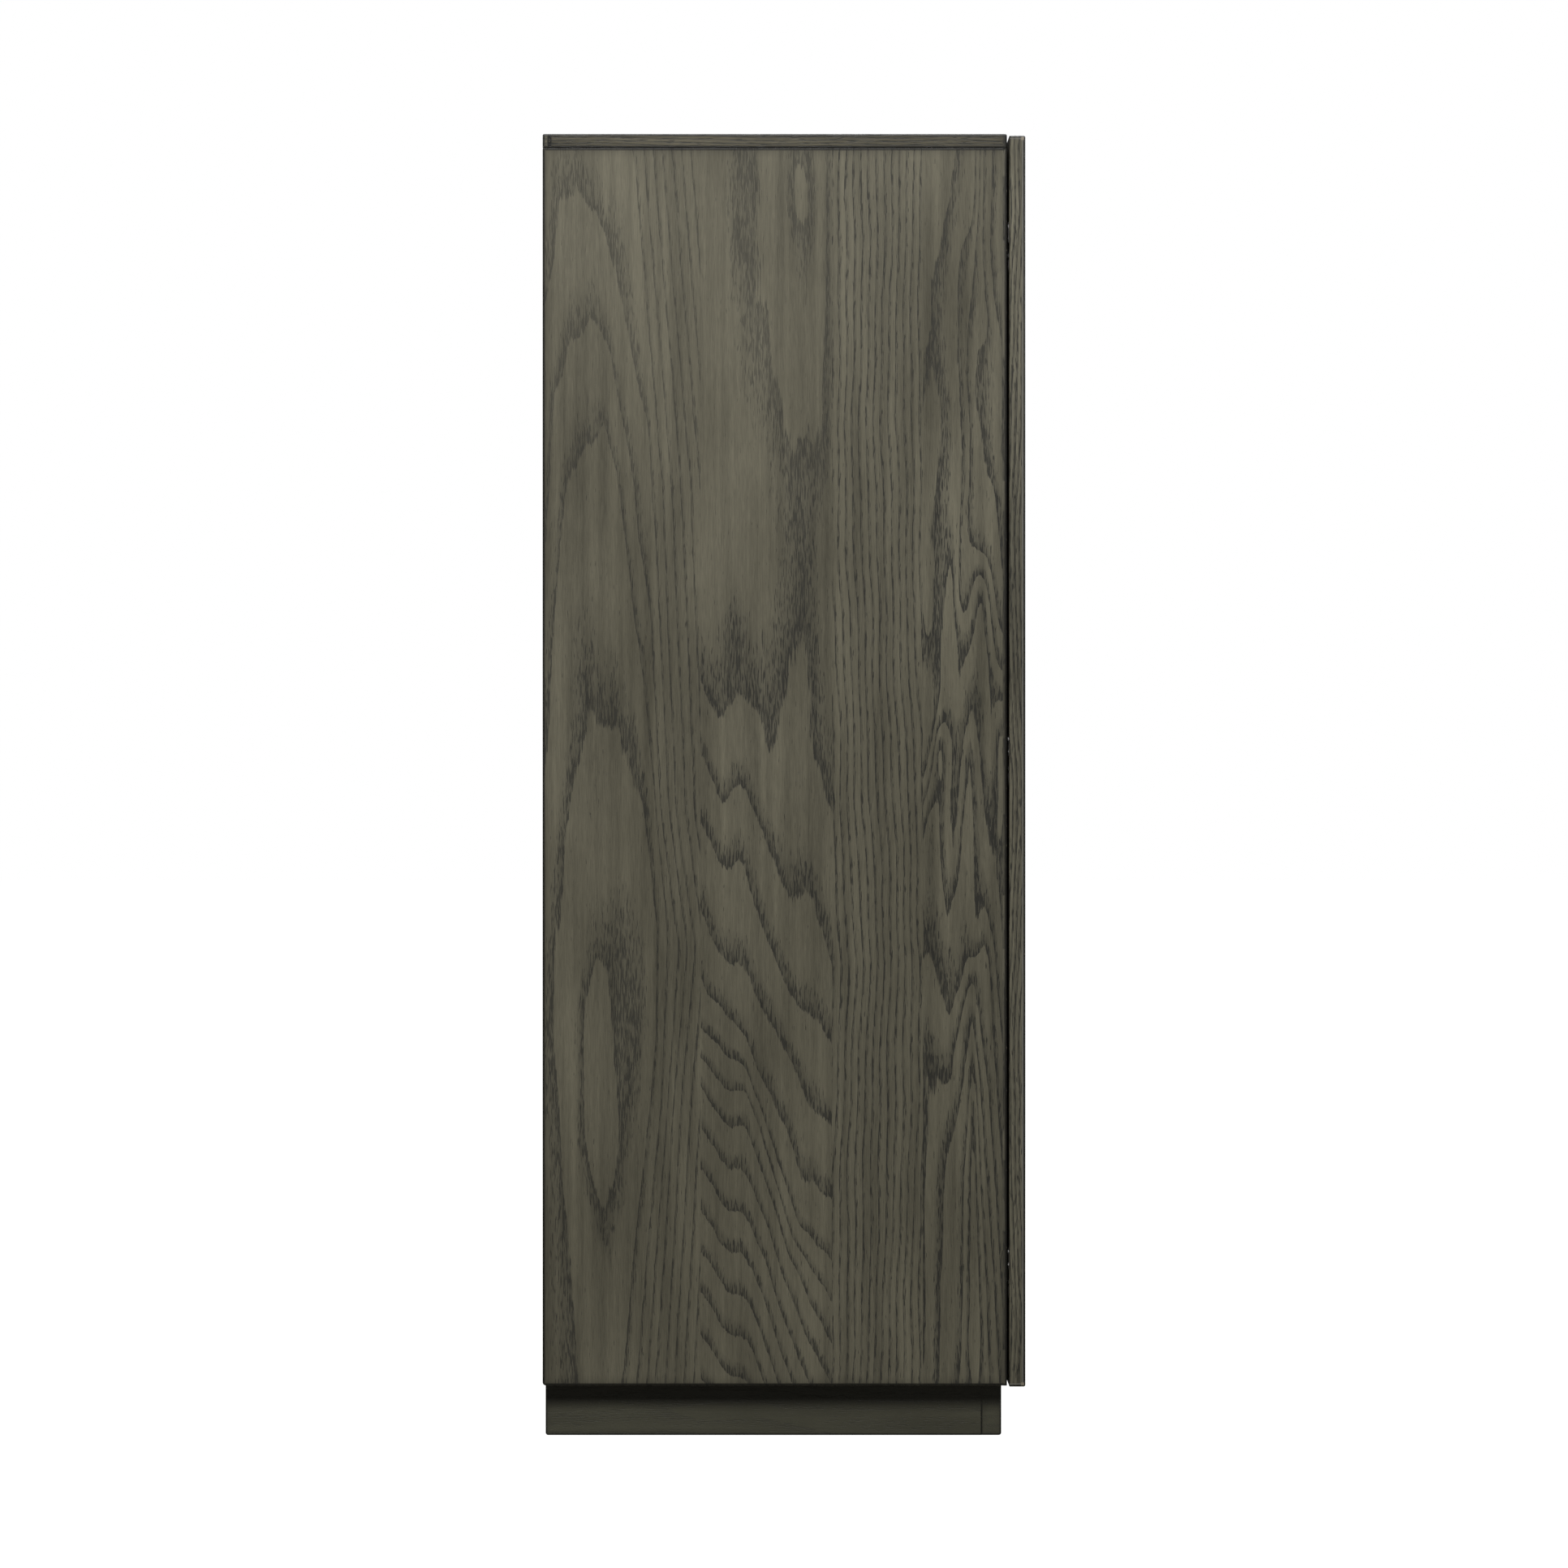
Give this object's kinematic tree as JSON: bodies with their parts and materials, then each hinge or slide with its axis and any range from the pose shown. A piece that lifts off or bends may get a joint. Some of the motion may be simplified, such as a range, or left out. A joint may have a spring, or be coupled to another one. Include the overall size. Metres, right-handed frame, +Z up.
{
  "type": "pantry cabinet",
  "caption": "Tall veneered pantry cabinet on a recessed plinth, with full-overlay push-to-open doors on cup hinges and shelves behind them.",
  "frame": {"origin": "middle of the footprint, on the floor", "axes": "+Z up, +X across the width towards the right-hand door as seen from the front, doors facing -Y"},
  "size_m": [0.914, 0.565, 1.524],
  "materials": {
    "back_board": "thin veneered board, satin",
    "beech": "bare",
    "clear_bumper": "soft",
    "edge_wood": "stained solid wood, satin",
    "face_veneer": "stained open-grained veneer, satin",
    "hinge_steel": "black nickel plated",
    "inner_board": "veneered board, satin",
    "latch_plastic": "matt",
    "magnet": "plated",
    "plinth_pine": "bare softwood",
    "plunger_plastic": "matt",
    "zinc_screw": "zinc plated"
  },
  "bodies": {
    "case": {"back_panel_screws": "zinc_screw", "bottom_panel": "inner_board", "bottom_panel_lipping": "edge_wood", "carcass_dowels": "beech", "fixed_shelf": "inner_board", "fixed_shelf_lipping": "edge_wood", "latch_cases": "latch_plastic", "latch_screws": "zinc_screw", "left_hinge_arm_screws": "zinc_screw", "left_hinge_arms": "hinge_steel", "left_hinge_plate_screws": "zinc_screw", "left_hinge_plates": "hinge_steel", "left_plinth_board": "edge_wood", "left_side_lipping": "edge_wood", "left_side_panel": "face_veneer", "lower_back_panel": "back_board", "lower_shelf": "inner_board", "lower_shelf_lipping": "edge_wood", "middle_shelf": "inner_board", "middle_shelf_lipping": "edge_wood", "plinth_centre_brace": "plinth_pine", "plinth_corner_blocks": "plinth_pine", "plinth_front_board": "edge_wood", "plinth_rear_board": "plinth_pine", "plinth_screws": "zinc_screw", "right_hinge_arm_screws": "zinc_screw", "right_hinge_arms": "hinge_steel", "right_hinge_plate_screws": "zinc_screw", "right_hinge_plates": "hinge_steel", "right_plinth_board": "edge_wood", "right_side_lipping": "edge_wood", "right_side_panel": "face_veneer", "shelf_pins": "zinc_screw", "side_veneers": "face_veneer", "top_front_lipping": "edge_wood", "top_panel": "face_veneer", "top_rear_lipping": "edge_wood", "top_side_lippings": "edge_wood", "upper_back_panel": "back_board", "upper_shelf": "inner_board", "upper_shelf_lipping": "edge_wood", "wall_rail": "inner_board"},
    "left_door": {"left_door_bumpers": "clear_bumper", "left_door_lippings": "edge_wood", "left_door_panel": "face_veneer", "left_hinge_cup_screws": "zinc_screw", "left_hinge_cups": "hinge_steel", "left_hinge_pins": "hinge_steel", "left_strike_plates": "zinc_screw"},
    "left_latch": {"left_latch_magnets": "magnet", "left_latch_plungers": "plunger_plastic"},
    "right_door": {"right_door_bumpers": "clear_bumper", "right_door_lippings": "edge_wood", "right_door_panel": "face_veneer", "right_hinge_cup_screws": "zinc_screw", "right_hinge_cups": "hinge_steel", "right_hinge_pins": "hinge_steel", "right_strike_plates": "zinc_screw"},
    "right_latch": {"right_latch_magnets": "magnet", "right_latch_plungers": "plunger_plastic"}
  },
  "joints": [
    {"name": "left_door_hinge", "type": "hinge", "parent": "case", "child": "left_door", "pos_m": [-0.4485, -0.274, 0.79], "axis": [0, 0, -1], "range_deg": [0, 100]},
    {"name": "right_door_hinge", "type": "hinge", "parent": "case", "child": "right_door", "pos_m": [0.4485, -0.274, 0.79], "axis": [0, 0, 1], "range_deg": [0, 100]},
    {"name": "left_latch_slide", "type": "slide", "parent": "case", "child": "left_latch", "axis": [0, -1, 0], "range_m": [0, 0.02]},
    {"name": "right_latch_slide", "type": "slide", "parent": "case", "child": "right_latch", "axis": [0, -1, 0], "range_m": [0, 0.02]}
  ],
  "couplings": [
    {"joint": "left_latch_slide", "follows": "left_door_hinge", "m_per_rad": 0.011459},
    {"joint": "right_latch_slide", "follows": "right_door_hinge", "m_per_rad": 0.011459}
  ]
}
